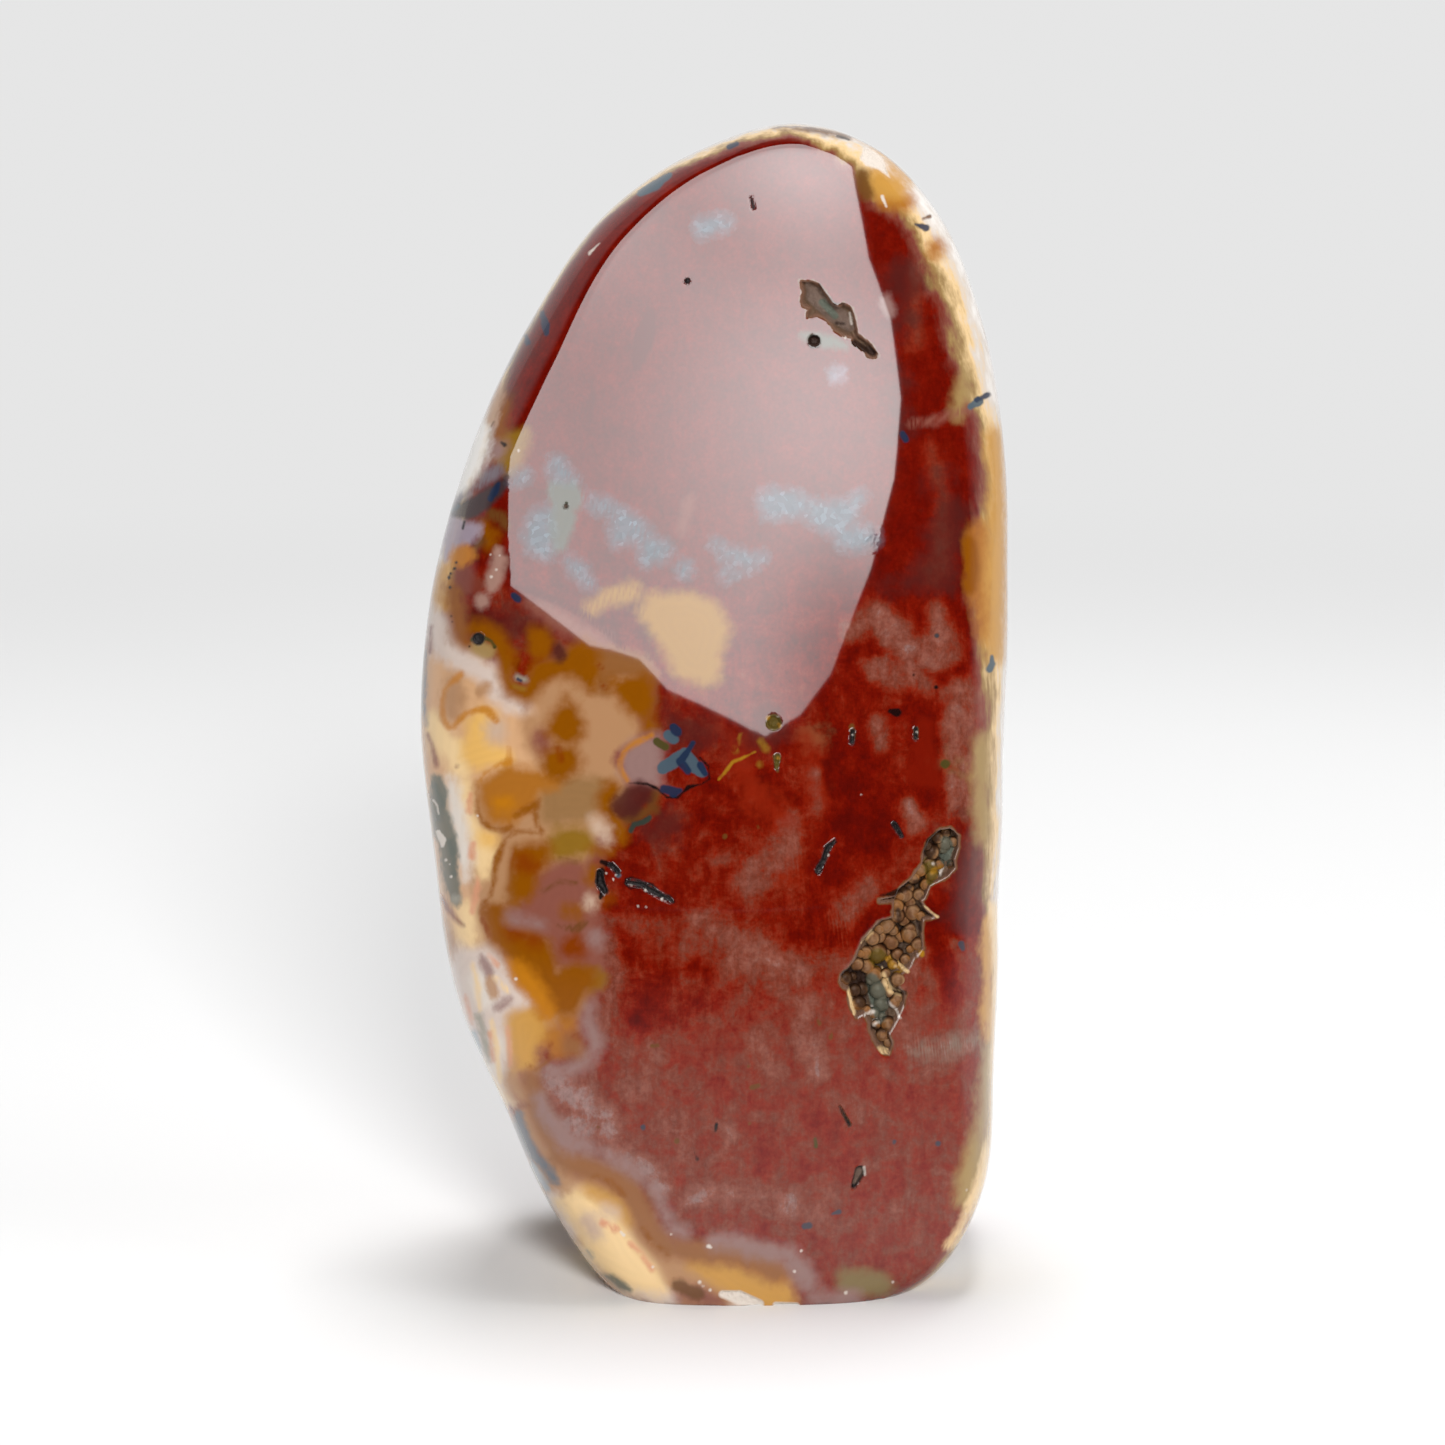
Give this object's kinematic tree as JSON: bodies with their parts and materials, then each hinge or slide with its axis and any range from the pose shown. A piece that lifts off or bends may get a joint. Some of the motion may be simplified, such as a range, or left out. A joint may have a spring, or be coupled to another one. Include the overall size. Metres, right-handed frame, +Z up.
{
  "type": "ocean jasper freeform",
  "caption": "Tall polished ocean jasper freeform, sawn flat underneath so that it stands by itself, with a bead-lined hollow open in its leaning front face.",
  "frame": {"origin": "under the middle of the stone's box, on the surface that it stands on", "axes": "+Z up along the stone's height, polished leaning face towards -Y, +X to the right when that face is looked at"},
  "size_m": [0.0727, 0.0445, 0.1393],
  "materials": {
    "stone": "polished to a gloss, with small unpolished pits and chips",
    "crust": "natural, glassy beads"
  },
  "bodies": {
    "root": {"stone": "stone", "vug_crust": "crust"}
  },
  "joints": []
}
